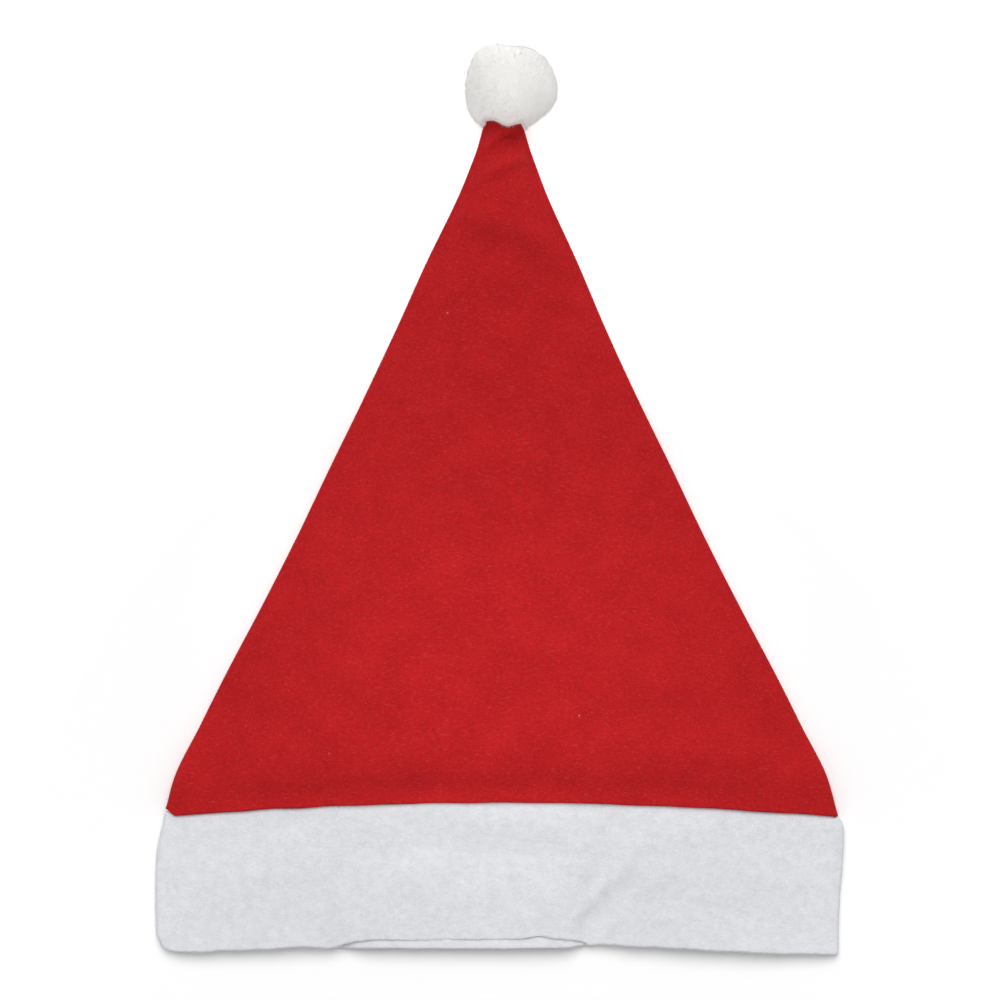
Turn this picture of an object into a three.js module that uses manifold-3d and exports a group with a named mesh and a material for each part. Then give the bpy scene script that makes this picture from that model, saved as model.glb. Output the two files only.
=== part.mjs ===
// A felt Santa hat lying flat on its back. A red felt cone, folded along its left side and sewn
// along its right, holds a white felt band sewn inside its mouth, and a white pompom at its tip.
//
// Millimetres. X runs across the mouth, Y runs from the mouth to the tip, and Z goes up from the
// surface that the hat lies on. The origin is under the middle of the hat.

import * as THREE from "three";
import { mergeVertices } from "three/addons/utils/BufferGeometryUtils.js";
import Module from "manifold-3d";

// Felt
const coneWall = 1.4; // one layer of red felt
const bandWall = 2.2; // two layers of white felt, folded along the mouth
const foldGap = 0.5; // the air left inside a pressed fold
const seamGap = 0.3; // clearance between sewn pieces

// Red cone
const coneLength = 296.5; // from the seam of the band to the end of the tip
const coneHalf = 146.3; // half its width along that seam
const tipHalf = 7.4; // half its width at the end of the tip
const puff = 18.2; // how far the front panel arches up over its folded sides
const tipLift = 8; // how far the pompom lifts the tip off the surface
const tipLean = 1.8; // how far the tip lies to the right
const seamBow = 5.7; // how far the seam drops from its middle to the sides
const cornerRise = 3.4; // the rounded corner where the left fold meets the seam
const cornerReach = 5; // the length of that rounding along the seam
const coneFullness = 1.05; // the arch of the front: one is a parabola, and less is fuller at the sides

// White band
const bandHeight = 63;
const bandHalf = 150.2;
const bandTuck = 9; // the seam allowance that lies inside the cone
const mouthBow = 2; // how far the mouth drops from its middle to the sides
const mouthGape = 4.6; // how far the front of the mouth arches up over its sides
const bandFullness = 0.6; // the arch of the band's front at the mouth, as coneFullness is the cone's
const shoulderRun = 1.4; // where the band steps out to its full width below the seam
const settleRun = 14; // where it comes down to the surface below the seam
const thickFrom = 1.2; // the seam's thickness starts to fade here above it, as a share of bandTuck
const thickTo = 5; // and has faded here
const frontStepUp = 4.1; // how much shorter the front of the mouth is in its middle

// Pompom
const pompomWide = 40.6;
const pompomLong = 37.8;
const pompomTall = 36;
const pompomSink = 3.4; // how far the tip of the cone is pressed into the ball
const pompomShift = 3.2; // how far the ball lies to the right of the tip
const pompomFlat = 2.2; // how much of the ball is pressed flat where it lies
const tuftDepth = 3; // the height of the tufts on the head of the ball
const tuftWidth = 8.8; // a tuft's breadth at its root, inside the head
const tuftEnd = 4.9; // and at its blunt end
const tuftCount = 62;
const tuftSides = 5;

// Mesh steps
const frontSteps = 26;
const backSteps = 6;
const foldSteps = 4;
const bandSteps = 6;
const sideCrowding = 0.35; // how much closer the steps of the front lie at its sides

// The rings of the cone above the seam allowance. to: share of coneLength where a zone ends.
const coneZones = [
  { to: 0.2, steps: 8 },
  { to: 0.6, steps: 8 },
  { to: 1.0, steps: 22 },
];

// Sections of the cone. along: share of coneLength from the seam. width: share of the way from
// tipHalf to coneHalf. arch: share of puff. lift: share of tipLift.
const coneSections = [
  { along: 0.0, width: 1.0, arch: 0.58, lift: 0.0 },
  { along: 0.05, width: 0.975, arch: 0.84, lift: 0.0 },
  { along: 0.13, width: 0.89, arch: 1.0, lift: 0.0 },
  { along: 0.2, width: 0.813, arch: 0.99, lift: 0.0 },
  { along: 0.3, width: 0.697, arch: 0.93, lift: 0.0 },
  { along: 0.4, width: 0.586, arch: 0.86, lift: 0.0 },
  { along: 0.5, width: 0.482, arch: 0.77, lift: 0.0 },
  { along: 0.6, width: 0.376, arch: 0.67, lift: 0.0 },
  { along: 0.7, width: 0.276, arch: 0.56, lift: 0.02 },
  { along: 0.8, width: 0.183, arch: 0.44, lift: 0.14 },
  { along: 0.9, width: 0.083, arch: 0.31, lift: 0.55 },
  { along: 0.95, width: 0.041, arch: 0.24, lift: 0.8 },
  { along: 1.0, width: 0.0, arch: 0.18, lift: 1.0 },
];

// Wrinkles and dimples of the front panel. along: share of coneLength. across: share of the half
// width there. reach: half its length, as a share of coneHalf. breadth: half its breadth, as a
// share of coneLength. rise: height as a share of puff, below zero for a dent. turn: degrees.
const coneFolds = [
  { along: 0.952, across: 0.1, reach: 0.09, breadth: 0.013, rise: 0.09, turn: 28 },
  { along: 0.848, across: 0.1, reach: 0.5, breadth: 0.022, rise: 0.1, turn: -12 },
  { along: 0.73, across: 0.72, reach: 0.2, breadth: 0.018, rise: 0.09, turn: -14 },
  { along: 0.652, across: 0.84, reach: 0.17, breadth: 0.016, rise: 0.07, turn: -16 },
  { along: 0.19, across: -0.55, reach: 0.24, breadth: 0.07, rise: 0.05, turn: 10 },
  { along: 0.17, across: 0.55, reach: 0.24, breadth: 0.07, rise: 0.05, turn: -8 },
  { along: 0.047, across: -0.93, reach: 0.08, breadth: 0.02, rise: -0.1, turn: 40 },
  { along: 0.055, across: 0.91, reach: 0.08, breadth: 0.02, rise: -0.08, turn: -40 },
  { along: 0.12, across: -0.92, reach: 0.07, breadth: 0.02, rise: -0.07, turn: 55 },
];

// Sections of the band. down: share of bandHeight from the seam. left, right: shares of bandHalf.
const bandSections = [
  { down: 0.0, left: 0.974, right: 0.983 },
  { down: 0.1, left: 0.98, right: 1.002 },
  { down: 0.2, left: 0.991, right: 1.003 },
  { down: 0.35, left: 1.0, right: 1.0 },
  { down: 0.6, left: 1.003, right: 0.992 },
  { down: 0.9, left: 1.0, right: 0.988 },
  { down: 1.0, left: 0.985, right: 0.988 },
];

// Where the front edge of the mouth steps up and shows the inside of the back. across: share of
// bandHalf. step: share of frontStepUp.
const mouthSteps = [
  { across: -1.0, step: 0.0 },
  { across: -0.52, step: 0.0 },
  { across: -0.42, step: 0.7 },
  { across: -0.37, step: 0.88 },
  { across: 0.06, step: 1.0 },
  { across: 0.11, step: 1.3 },
  { across: 0.23, step: 0.6 },
  { across: 0.27, step: 0.0 },
  { across: 1.0, step: 0.0 },
];

// The lumps of the ball. turn: degrees from X in plan. rise: degrees up. swell: share of pompomWide.
// spread: how wide the lump is, in degrees.
const pompomLumps = [
  { turn: 125, rise: 10, swell: 0.062, spread: 26 },
  { turn: 90, rise: 5, swell: -0.065, spread: 13 },
  { turn: 14, rise: 5, swell: -0.015, spread: 12 },
  { turn: -28, rise: 5, swell: -0.02, spread: 10 },
  { turn: -76, rise: -5, swell: 0.032, spread: 14 },
  { turn: 228, rise: -5, swell: 0.085, spread: 28 },
];

const seamDepth = coneWall + seamGap; // from the outside of the cone to the outside of the tuck
const foldEdge = 2 * coneWall + foldGap; // the thickness of the cone along its folds
const bandEdge = 2 * bandWall + foldGap; // and of the band
const seamEdge = bandEdge + 2 * seamDepth; // and of the cone where it holds the band

function smooth(from, to, at) {
  return THREE.MathUtils.smoothstep(at, from, to);
}

function mix(from, to, share) {
  return from + (to - from) * share;
}

// A column of a table at a place between its rows, on a curve through them that never overshoots.
function column(table, key, name, at) {
  const last = table.length - 1;
  const x = THREE.MathUtils.clamp(at, table[0][key], table[last][key]);
  let i = 0;
  while (i < last - 1 && x > table[i + 1][key]) i += 1;
  const slope = (j) => (table[j + 1][name] - table[j][name]) / (table[j + 1][key] - table[j][key]);
  const tangent = (j) => {
    if (j === 0) return slope(0);
    if (j === last) return slope(last - 1);
    const before = slope(j - 1);
    const after = slope(j);
    return before * after <= 0 ? 0 : (2 * before * after) / (before + after);
  };
  const run = table[i + 1][key] - table[i][key];
  const t = (x - table[i][key]) / run;
  const start = table[i][name];
  const rise = table[i + 1][name] - start;
  const [m0, m1] = [tangent(i) * run, tangent(i + 1) * run];
  return start + m0 * t + (3 * rise - 2 * m0 - m1) * t ** 2 + (m0 + m1 - 2 * rise) * t ** 3;
}

// A section of a flattened tube: left and right half widths, the thickness of its folded sides,
// the arch of its front above them and how full it is, the lift of its back above the surface,
// and its middle.
function coneSection(along) {
  const at = (name) => column(coneSections, "along", name, along);
  const half = tipHalf + (coneHalf - tipHalf) * at("width");
  const thin = smooth(thickFrom * bandTuck, thickTo * bandTuck, along * coneLength);
  return {
    left: half,
    right: half,
    edge: mix(seamEdge, foldEdge, thin),
    arch: puff * at("arch"),
    lift: tipLift * at("lift"),
    middle: tipLean * smooth(0.6, 1, along),
    fullness: coneFullness,
  };
}

function inset(section, depth) {
  return {
    ...section,
    left: section.left - depth,
    right: section.right - depth,
    edge: section.edge - 2 * depth,
    lift: section.lift + depth,
  };
}

// The band below the seam, from the section inside the cone to its own full section.
function bandSection(down) {
  const tucked = inset(coneSection(0), seamDepth);
  const run = down * bandHeight;
  const out = smooth(0, shoulderRun, run);
  const settled = smooth(0, settleRun, run);
  const at = (name) => bandHalf * column(bandSections, "down", name, down);
  return {
    left: mix(tucked.left, at("left"), out),
    right: mix(tucked.right, at("right"), out),
    edge: tucked.edge,
    arch: mix(tucked.arch, mouthGape, smooth(0, 1, down)),
    lift: mix(tucked.lift, 0, settled),
    middle: 0,
    fullness: mix(coneFullness, bandFullness, smooth(0, 1, down)),
  };
}

// The points round a section, each with its place across from -1 to 1 and its share of front.
// They start at the right of the back, and go left along it, round the left fold, right along
// the arched front and round the right fold.
function sectionRing(section) {
  const radius = section.edge / 2;
  const ring = [];
  const add = (x, z, across, front) => {
    ring.push({ x: x + section.middle, z: z + section.lift, across, front });
  };
  const reach = (across) => across * ((across < 0 ? section.left : section.right) - radius);
  for (let i = 0; i < backSteps; i += 1) {
    const across = 1 - (2 * i) / backSteps;
    add(reach(across), 0, across, 0);
  }
  for (let i = 0; i < foldSteps; i += 1) {
    const turn = (Math.PI * i) / foldSteps;
    add(reach(-1) - radius * Math.sin(turn), radius * (1 - Math.cos(turn)), -1, i / foldSteps);
  }
  for (let i = 0; i < frontSteps; i += 1) {
    const across = mix((2 * i) / frontSteps - 1, -Math.cos((Math.PI * i) / frontSteps), sideCrowding);
    add(reach(across), section.edge + section.arch * (1 - across ** 2) ** section.fullness, across, 1);
  }
  for (let i = 0; i < foldSteps; i += 1) {
    const turn = (Math.PI * i) / foldSteps;
    add(reach(1) + radius * Math.sin(turn), radius * (1 + Math.cos(turn)), 1, 1 - i / foldSteps);
  }
  return ring;
}

// The height that the wrinkles and dimples add to the front panel.
function coneRelief(x, along, half) {
  return coneFolds.reduce((height, fold) => {
    const turn = THREE.MathUtils.degToRad(fold.turn);
    const dx = x - fold.across * half;
    const dy = (along - fold.along) * coneLength;
    const lengthwise = (dx * Math.cos(turn) + dy * Math.sin(turn)) / (fold.reach * coneHalf);
    const crosswise = (dy * Math.cos(turn) - dx * Math.sin(turn)) / (fold.breadth * coneLength);
    return height + fold.rise * puff * Math.exp(-(lengthwise ** 2) - crosswise ** 2);
  }, 0);
}

// The seam's place along Y, for a point that far across: zero at the middle of the seam.
function seamLine(x, half) {
  const across = Math.min(Math.abs(x) / half, 1);
  const corner = smooth(half - cornerReach, half, -x);
  return cornerRise * corner - seamBow * across ** 2;
}

// A ring of the cone at that share of its length. The seam's bow dies out towards the tip, and
// the rounding of its corner dies out much sooner.
function coneRing(along, depth) {
  const section = inset(coneSection(along), depth);
  const half = coneSection(along).left;
  const fade = (1 - along) ** 2;
  return sectionRing(section).map(({ x, z, across, front }) => {
    const bow = -seamBow * Math.min(Math.abs(x) / half, 1) ** 2;
    const corner = (seamLine(x, half) - bow) * Math.exp((-along * coneLength) / cornerReach);
    const relief = front * (1 - across ** 4) * coneRelief(x, along, half);
    const y = along * coneLength - depth * smooth(0.5, 1, along) + bow * fade + corner;
    return new THREE.Vector3(x, y, z + relief);
  });
}

// A closed surface through rings of points, from each to the next. A closed one joins its last
// ring to its first, and any other has a flat end on both.
function skin(rings, closed) {
  const size = rings[0].length;
  const points = rings.flat();
  const index = [];
  const strip = (a, b) => {
    for (let i = 0; i < size; i += 1) {
      const j = (i + 1) % size;
      index.push(a * size + i, a * size + j, b * size + j);
      index.push(a * size + i, b * size + j, b * size + i);
    }
  };
  const cap = (ring, outwards) => {
    const centre = points.length;
    const start = ring * size;
    const middle = new THREE.Vector3();
    rings[ring].forEach((p) => middle.addScaledVector(p, 1 / size));
    points.push(middle);
    for (let i = 0; i < size; i += 1) {
      const j = (i + 1) % size;
      index.push(...(outwards ? [start + i, start + j, centre] : [start + j, start + i, centre]));
    }
  };
  for (let i = 0; i + 1 < rings.length; i += 1) strip(i, i + 1);
  if (closed) strip(rings.length - 1, 0);
  else {
    cap(0, false);
    cap(rings.length - 1, true);
  }
  const geometry = new THREE.BufferGeometry().setFromPoints(points);
  geometry.setIndex(index);
  return geometry;
}

// The shares of the cone's length where the seam allowance has its rings, cone and band alike.
const tuckRows = [0, bandTuck / 2, bandTuck].map((up) => up / coneLength);

// The shares where all the cone's rings lie.
function coneRows() {
  const rows = [...tuckRows];
  coneZones.forEach(({ to, steps }) => {
    const from = rows.at(-1);
    for (let i = 1; i <= steps; i += 1) rows.push(mix(from, to, i / steps));
  });
  return rows;
}

// The cone: its inside from the tip to the mouth, then its outside from the mouth to the tip.
function coneGeometry() {
  const rows = coneRows();
  const inside = [...rows].reverse().map((along) => coneRing(along, coneWall));
  const outside = rows.map((along) => coneRing(along, 0));
  return skin([...inside, ...outside], false);
}

// A ring of the band at that share of its height. Its front edge is shorter in its middle.
function bandRing(down, depth) {
  const section = inset(bandSection(down), depth);
  return sectionRing(section).map(({ x, z, front }) => {
    const across = x / bandHalf;
    const step = frontStepUp * front * column(mouthSteps, "across", "step", across);
    const mouth = -bandHeight - mouthBow * across ** 2 + step;
    const seam = seamLine(x, coneHalf) - seamGap;
    return new THREE.Vector3(x, mix(seam, mouth, down), z);
  });
}

// The band: a double felt wall, thick at its folded lower edge, from the tuck to the mouth.
function bandGeometry() {
  const tucks = [...tuckRows].reverse();
  const downs = [shoulderRun, settleRun / 3, (2 * settleRun) / 3].map((run) => run / bandHeight);
  const settled = settleRun / bandHeight;
  for (let i = 0; i <= bandSteps; i += 1) downs.push(mix(settled, 1, i / bandSteps));
  const rings = (depth) => [
    ...tucks.map((along) => coneRing(along, seamDepth + depth)),
    ...downs.map((down) => bandRing(down, depth)),
  ];
  return skin([...rings(bandWall), ...rings(0).reverse()], true);
}

// A ray's reach from the middle of the ball: one, with the lumps added.
function lumps(direction) {
  return pompomLumps.reduce((reach, lump) => {
    const turn = THREE.MathUtils.degToRad(lump.turn);
    const rise = THREE.MathUtils.degToRad(lump.rise);
    const flat = Math.cos(rise);
    const peak = new THREE.Vector3(flat * Math.cos(turn), flat * Math.sin(turn), Math.sin(rise));
    const angle = THREE.MathUtils.radToDeg(direction.angleTo(peak)) / lump.spread;
    return reach + 2 * lump.swell * Math.exp(-(angle ** 2));
  }, 1);
}

function ballPoint(direction, depth) {
  const reach = lumps(direction);
  return new THREE.Vector3(
    direction.x * ((pompomWide / 2) * reach - depth),
    direction.y * ((pompomLong / 2) * reach - depth),
    direction.z * (((pompomTall + pompomFlat) / 2) * reach - depth),
  );
}

const wasm = await Module();
wasm.setup();

function solidOf(geometry) {
  const bare = geometry.clone();
  bare.deleteAttribute("normal");
  bare.deleteAttribute("uv");
  const merged = mergeVertices(bare);
  const vertProperties = merged.attributes.position.array;
  const triVerts = new Uint32Array(merged.index.array);
  return new wasm.Manifold(new wasm.Mesh({ numProp: 3, vertProperties, triVerts }));
}

function geometryOf(solid) {
  const { vertProperties, triVerts } = solid.getMesh();
  const geometry = new THREE.BufferGeometry();
  geometry.setAttribute("position", new THREE.BufferAttribute(vertProperties, 3));
  geometry.setIndex(new THREE.BufferAttribute(triVerts, 1));
  return geometry;
}

// The head of the ball, which the tufts stand on.
function headGeometry() {
  const geometry = new THREE.IcosahedronGeometry(1, 2);
  const position = geometry.attributes.position;
  for (let i = 0; i < position.count; i += 1) {
    const direction = new THREE.Vector3().fromBufferAttribute(position, i).normalize();
    position.setXYZ(i, ...ballPoint(direction, tuftDepth));
  }
  return geometry;
}

// One blunt tuft, from inside the head to the outside of the ball.
function tuftGeometry(direction, turn) {
  const root = ballPoint(direction, 2 * tuftDepth);
  const end = ballPoint(direction, 0);
  const height = root.distanceTo(end);
  const geometry = new THREE.CylinderGeometry(tuftEnd / 2, tuftWidth / 2, height, tuftSides);
  geometry.rotateY(turn);
  const up = new THREE.Vector3(0, 1, 0);
  const outwards = end.clone().sub(root).normalize();
  geometry.applyQuaternion(new THREE.Quaternion().setFromUnitVectors(up, outwards));
  return geometry.translate(...root.add(end).multiplyScalar(0.5));
}

// Directions spread evenly over a sphere, along a spiral from its top to its foot.
function spiral(count) {
  const goldenTurn = Math.PI * (3 - Math.sqrt(5));
  return Array.from({ length: count }, (_, i) => {
    const z = 1 - (2 * i + 1) / count;
    const flat = Math.sqrt(1 - z ** 2);
    return new THREE.Vector3(flat * Math.cos(i * goldenTurn), flat * Math.sin(i * goldenTurn), z);
  });
}

// What the tip of the cone takes out of the ball: the tip with its clearance, open upwards.
function pocketSolid() {
  const width = 2 * (tipHalf + seamGap) + coneWall;
  const long = pompomSink + seamGap;
  const shape = new THREE.BoxGeometry(width, 2 * long, pompomTall);
  const low = tipLift - seamGap;
  return solidOf(shape.translate(-pompomShift, -pompomLong / 2, low + pompomTall / 2));
}

// The pompom: a head with tufts fused on, pressed flat where it lies and open for the tip.
function pompomGeometry() {
  const tufts = spiral(tuftCount).map((direction, i) => solidOf(tuftGeometry(direction, i)));
  const ball = wasm.Manifold.union([solidOf(headGeometry()), ...tufts]);
  const room = 2 * pompomWide;
  const above = new THREE.BoxGeometry(room, room, room).translate(0, 0, room / 2);
  const resting = ball.translate([0, 0, (pompomTall - pompomFlat) / 2]);
  return geometryOf(resting.intersect(solidOf(above)).subtract(pocketSolid()));
}

function piece(name, geometry, material) {
  const mesh = new THREE.Mesh(geometry, material);
  mesh.name = name;
  return mesh;
}

const redFelt = new THREE.MeshStandardMaterial({ color: 0xbe2026, roughness: 0.95, metalness: 0 });
const whiteFelt = new THREE.MeshStandardMaterial({ color: 0xdfe2e5, roughness: 0.95, metalness: 0 });
const whiteYarn = new THREE.MeshStandardMaterial({ color: 0xf1efee, roughness: 1, metalness: 0 });

const cone = piece("felt_cone", coneGeometry(), redFelt);
const band = piece("felt_band", bandGeometry(), whiteFelt);
const pompom = piece("pompom", pompomGeometry(), whiteYarn);
pompom.position.set(tipLean + pompomShift, coneLength + pompomLong / 2 - pompomSink, 0);

const hat = new THREE.Group();
hat.add(cone, band, pompom);
const bounds = new THREE.Box3().setFromObject(hat, true);
const middle = bounds.getCenter(new THREE.Vector3());
hat.position.set(-middle.x, -middle.y, -bounds.min.z);

export default hat;
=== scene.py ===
# A felt Santa hat lying flat on its back, seen from straight above.
# The red cone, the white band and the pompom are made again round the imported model, with loose fibres on them.
# Shapes are worked out in millimetres in the hat's own frame: X runs across the mouth, Y from the seam of the
# band to the tip, Z up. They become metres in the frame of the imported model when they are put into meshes.

import math

import bpy
import numpy as np
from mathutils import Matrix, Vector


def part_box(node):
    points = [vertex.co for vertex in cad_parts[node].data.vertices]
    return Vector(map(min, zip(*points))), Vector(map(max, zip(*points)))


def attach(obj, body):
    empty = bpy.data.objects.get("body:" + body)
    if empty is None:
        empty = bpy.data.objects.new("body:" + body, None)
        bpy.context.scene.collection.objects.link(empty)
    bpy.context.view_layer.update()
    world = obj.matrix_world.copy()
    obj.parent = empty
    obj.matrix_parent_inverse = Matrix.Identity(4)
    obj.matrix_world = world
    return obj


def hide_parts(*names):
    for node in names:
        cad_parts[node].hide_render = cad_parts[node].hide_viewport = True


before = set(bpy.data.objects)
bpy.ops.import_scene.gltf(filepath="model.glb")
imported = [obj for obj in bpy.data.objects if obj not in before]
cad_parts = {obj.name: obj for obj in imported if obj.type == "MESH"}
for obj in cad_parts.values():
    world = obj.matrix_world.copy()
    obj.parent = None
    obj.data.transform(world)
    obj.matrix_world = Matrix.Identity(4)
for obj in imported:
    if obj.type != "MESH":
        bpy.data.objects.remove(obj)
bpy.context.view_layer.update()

# What both felts share, in mm.
felt = {
    "coneWall": 1.4,       # one layer of red felt
    "bandLayer": 1.06,     # one layer of white felt, which is folded double
    "bandWall": 2.2,
    "foldGap": 0.5,        # the air left inside a pressed fold
    "seamGap": 0.3,
    "bandTuck": 9.0,       # the seam allowance of the band, inside the cone
    "thickFrom": 1.2,      # the seam's thickness starts to fade here above it, as a share of bandTuck
    "thickTo": 5.0,        # and has faded here
    "lipSteps": 9,         # round the edge of a wall
    "leastEdge": 0.02,     # the least thickness of a folded edge
}


def boxInMm(node):
    low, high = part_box(node)
    return np.array(low) * 1000, np.array(high) * 1000


coneLow, coneHigh = boxInMm("felt_cone")
bandLow, bandHigh = boxInMm("felt_band")
ballLow, ballHigh = boxInMm("pompom")
seamY = bandHigh[1] - felt["bandTuck"]                    # where the hat's own frame has its Y of zero
coneLength = coneHigh[1] - seamY
coneHalf = (coneHigh[0] - coneLow[0]) / 2
seamDepth = felt["coneWall"] + felt["seamGap"]            # from the outside of the cone to the tucked band
foldEdge = 2 * felt["coneWall"] + felt["foldGap"]         # thickness of the cone along its folds
bandEdge = 2 * felt["bandWall"] + felt["foldGap"]         # and of the band
seamEdge = bandEdge + 2 * seamDepth                       # and of the cone where it holds the band


def between(low, high, share):
    return low + (high - low) * share


def smoothStep(low, high, at):
    t = np.clip((at - low) / (high - low), 0, 1)
    return t * t * (3 - 2 * t)


# A smooth curve through the points of a table: cubic pieces whose slope at a point is the harmonic mean of the
# slopes on its two sides, and level where they change sign, so that it never overshoots.
def curveThrough(at, knots, values):
    knots, values = np.asarray(knots, float), np.asarray(values, float)
    run = np.diff(knots)
    slope = np.diff(values) / run
    product = slope[:-1] * slope[1:]
    total = np.where(product > 0, slope[:-1] + slope[1:], 1)
    tangent = np.concatenate([slope[:1], np.where(product > 0, 2 * product / total, 0), slope[-1:]])
    x = np.clip(at, knots[0], knots[-1])
    i = np.clip(np.searchsorted(knots, x, side="right") - 1, 0, len(run) - 1)
    t = (x - knots[i]) / run[i]
    rise = values[i + 1] - values[i]
    first, second = tangent[i] * run[i], tangent[i + 1] * run[i]
    return values[i] + first * t + (3 * rise - 2 * first - second) * t**2 + (first + second - 2 * rise) * t**3


# Soft unevenness with a mean size of one: a sum of plane waves with random headings, phases and lengths.
def waves(x, y, length, seed, count=26):
    rng = np.random.default_rng(seed)
    heading, phase = rng.uniform(0, 2 * np.pi, (2, count))
    size = length * rng.uniform(0.6, 1.7, count)
    total = 0.0
    for turn, shift, wave in zip(heading, phase, size):
        total = total + np.sin((x * np.cos(turn) + y * np.sin(turn)) * 2 * np.pi / wave + shift)
    return total / np.sqrt(count / 2)


# The height that a table of ridges and dents adds. Each is a bell in both directions, exp(-(lengthwise / reach)^2
# - (crosswise / breadth)^2), turned by its angle. Its columns are x, y, reach, breadth and rise in mm, and degrees.
def ridges(x, y, table):
    height = 0.0
    for ridgeX, ridgeY, reach, breadth, rise, degrees in table:
        turn = math.radians(degrees)
        lengthwise = ((x - ridgeX) * math.cos(turn) + (y - ridgeY) * math.sin(turn)) / reach
        crosswise = ((y - ridgeY) * math.cos(turn) - (x - ridgeX) * math.sin(turn)) / breadth
        height = height + rise * np.exp(-(lengthwise**2) - crosswise**2)
    return height


# The steps round a flattened tube, from the right of its back to the left, round the left fold, over its front and
# round the right fold. across runs from -1 to 1, side and high follow the half circle of a fold, and front is the
# share of the front panel.
def stepsAround(back, fold, front, crowding):
    turn = np.linspace(0, np.pi, fold, endpoint=False)
    backAcross = 1 - 2 * np.arange(back) / back
    even = np.arange(front) / front
    frontAcross = between(2 * even - 1, -np.cos(np.pi * even), crowding)
    level, ones = np.zeros, np.ones
    return {
        "across": np.concatenate([backAcross, -ones(fold), frontAcross, ones(fold)]),
        "side": np.concatenate([level(back), -np.sin(turn), level(front), np.sin(turn)]),
        "high": np.concatenate([level(back), (1 - np.cos(turn)) / 2, ones(front), (1 + np.cos(turn)) / 2]),
        "front": np.concatenate([level(back), turn / np.pi, ones(front), 1 - turn / np.pi]),
        "arched": np.concatenate([level(back + fold), ones(front), level(fold)]),
    }


# A point on a section of the flattened tube. x = across * (half - radius) + side * radius, where radius is half the
# thickness of the folded edge, and z = lift + high * edge + arch * (1 - across^2)^power on the front.
def sectionPoint(section, depth, around):
    across = around["across"]
    edge = np.maximum(section["edge"] - 2 * depth, felt["leastEdge"])
    half = np.where(across < 0, section["left"], section["right"]) - depth
    x = across * (half - edge / 2) + around["side"] * edge / 2 + section["middle"]
    arch = section["arch"] * np.maximum(1 - across**2, 0) ** section["power"] * around["arched"]
    return x, section["lift"] + depth + around["high"] * edge + arch


# The half circle round the edge of a wall: how far from the edge each of its steps lies, and how deep.
def lipSteps(wall):
    turn = np.linspace(-np.pi / 2, np.pi / 2, felt["lipSteps"])
    return wall / 2 * (1 - np.cos(turn)), wall / 2 * (1 - np.sin(turn))


# Puts points of the hat's own frame, in mm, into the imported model's frame, in metres.
def intoFrame(x, y, z):
    x, y, z = np.broadcast_arrays(x, y + seamY, z)
    return np.stack([x, y, z], -1) / 1000


# A mesh from an array of points and arrays of quads and triangles.
def meshFrom(name, points, quads, triangles, smooth=True):
    mesh = bpy.data.meshes.new(name)
    corners = np.concatenate([quads.ravel(), triangles.ravel()]).astype(np.int32)
    sizes = np.concatenate([np.full(len(quads), 4), np.full(len(triangles), 3)]).astype(np.int32)
    mesh.vertices.add(len(points))
    mesh.vertices.foreach_set("co", points.astype(np.float32).ravel())
    mesh.loops.add(len(corners))
    mesh.loops.foreach_set("vertex_index", corners)
    mesh.polygons.add(len(sizes))
    mesh.polygons.foreach_set("loop_start", np.concatenate([[0], np.cumsum(sizes)[:-1]]).astype(np.int32))
    mesh.polygons.foreach_set("loop_total", sizes)
    mesh.polygons.foreach_set("use_smooth", np.full(len(sizes), smooth))
    mesh.update(calc_edges=True)
    mesh.validate()
    piece = bpy.data.objects.new(name, mesh)
    bpy.context.scene.collection.objects.link(piece)
    return piece


# A closed surface through rings of points, each joined to the next and round itself. A loop joins its last ring to
# its first, and any other has a fan over each end.
def ringMesh(name, rings, loop):
    rows, columns = rings.shape[:2]
    start = np.arange(rows if loop else rows - 1)[:, None] * columns
    here = np.arange(columns)[None, :]
    beside = (here + 1) % columns
    following = (start + columns) % (rows * columns)
    quads = np.stack([start + here, start + beside, following + beside, following + here], -1).reshape(-1, 4)
    points = rings.reshape(-1, 3)
    triangles = np.zeros((0, 3), int)
    if not loop:
        first, last = here[0], (rows - 1) * columns + here[0]
        points = np.concatenate([points, rings[:1].mean(1), rings[-1:].mean(1)])
        low = np.stack([np.roll(first, -1), first, np.full(columns, rows * columns)], -1)
        high = np.stack([last, np.roll(last, -1), np.full(columns, rows * columns + 1)], -1)
        triangles = np.concatenate([low, high])
    return meshFrom(name, points, quads, triangles)


# Thin strands in one mesh. Each is a three-sided tube from a root through a slightly thinner knee to a point.
def strandMesh(name, root, knee, tip, thickness):
    count = len(root)
    heading = knee - root
    heading = heading / np.linalg.norm(heading, axis=1, keepdims=True)
    first = np.cross(heading, np.array([0.31, 0.52, 0.79]))
    first = first / np.linalg.norm(first, axis=1, keepdims=True)
    second = np.cross(heading, first)
    turn = np.arange(3) * 2 * np.pi / 3
    circle = first[:, None] * np.cos(turn)[None, :, None] + second[:, None] * np.sin(turn)[None, :, None]
    radius = (np.asarray(thickness) / 2).reshape(-1, 1, 1)
    points = np.concatenate([root[:, None] + circle * radius, knee[:, None] + circle * radius * 0.8, tip[:, None]], 1)
    base = np.arange(count)[:, None, None] * 7
    walls = np.array([[0, 1, 4, 3], [1, 2, 5, 4], [2, 0, 3, 5]])[None]
    ends = np.array([[3, 4, 6], [4, 5, 6], [5, 3, 6], [2, 1, 0]])[None]
    return meshFrom(name, points.reshape(-1, 3), (base + walls).reshape(-1, 4), (base + ends).reshape(-1, 3))


def finishPiece(piece, node, material):
    piece.data.materials.append(material)
    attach(piece, "root")
    if node:
        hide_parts(node)
    return piece


def toLinear(hexColour):
    parts = [int(hexColour[i:i + 2], 16) / 255 for i in (1, 3, 5)]
    return (*[p / 12.92 if p <= 0.04045 else ((p + 0.055) / 1.055) ** 2.4 for p in parts], 1.0)


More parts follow.
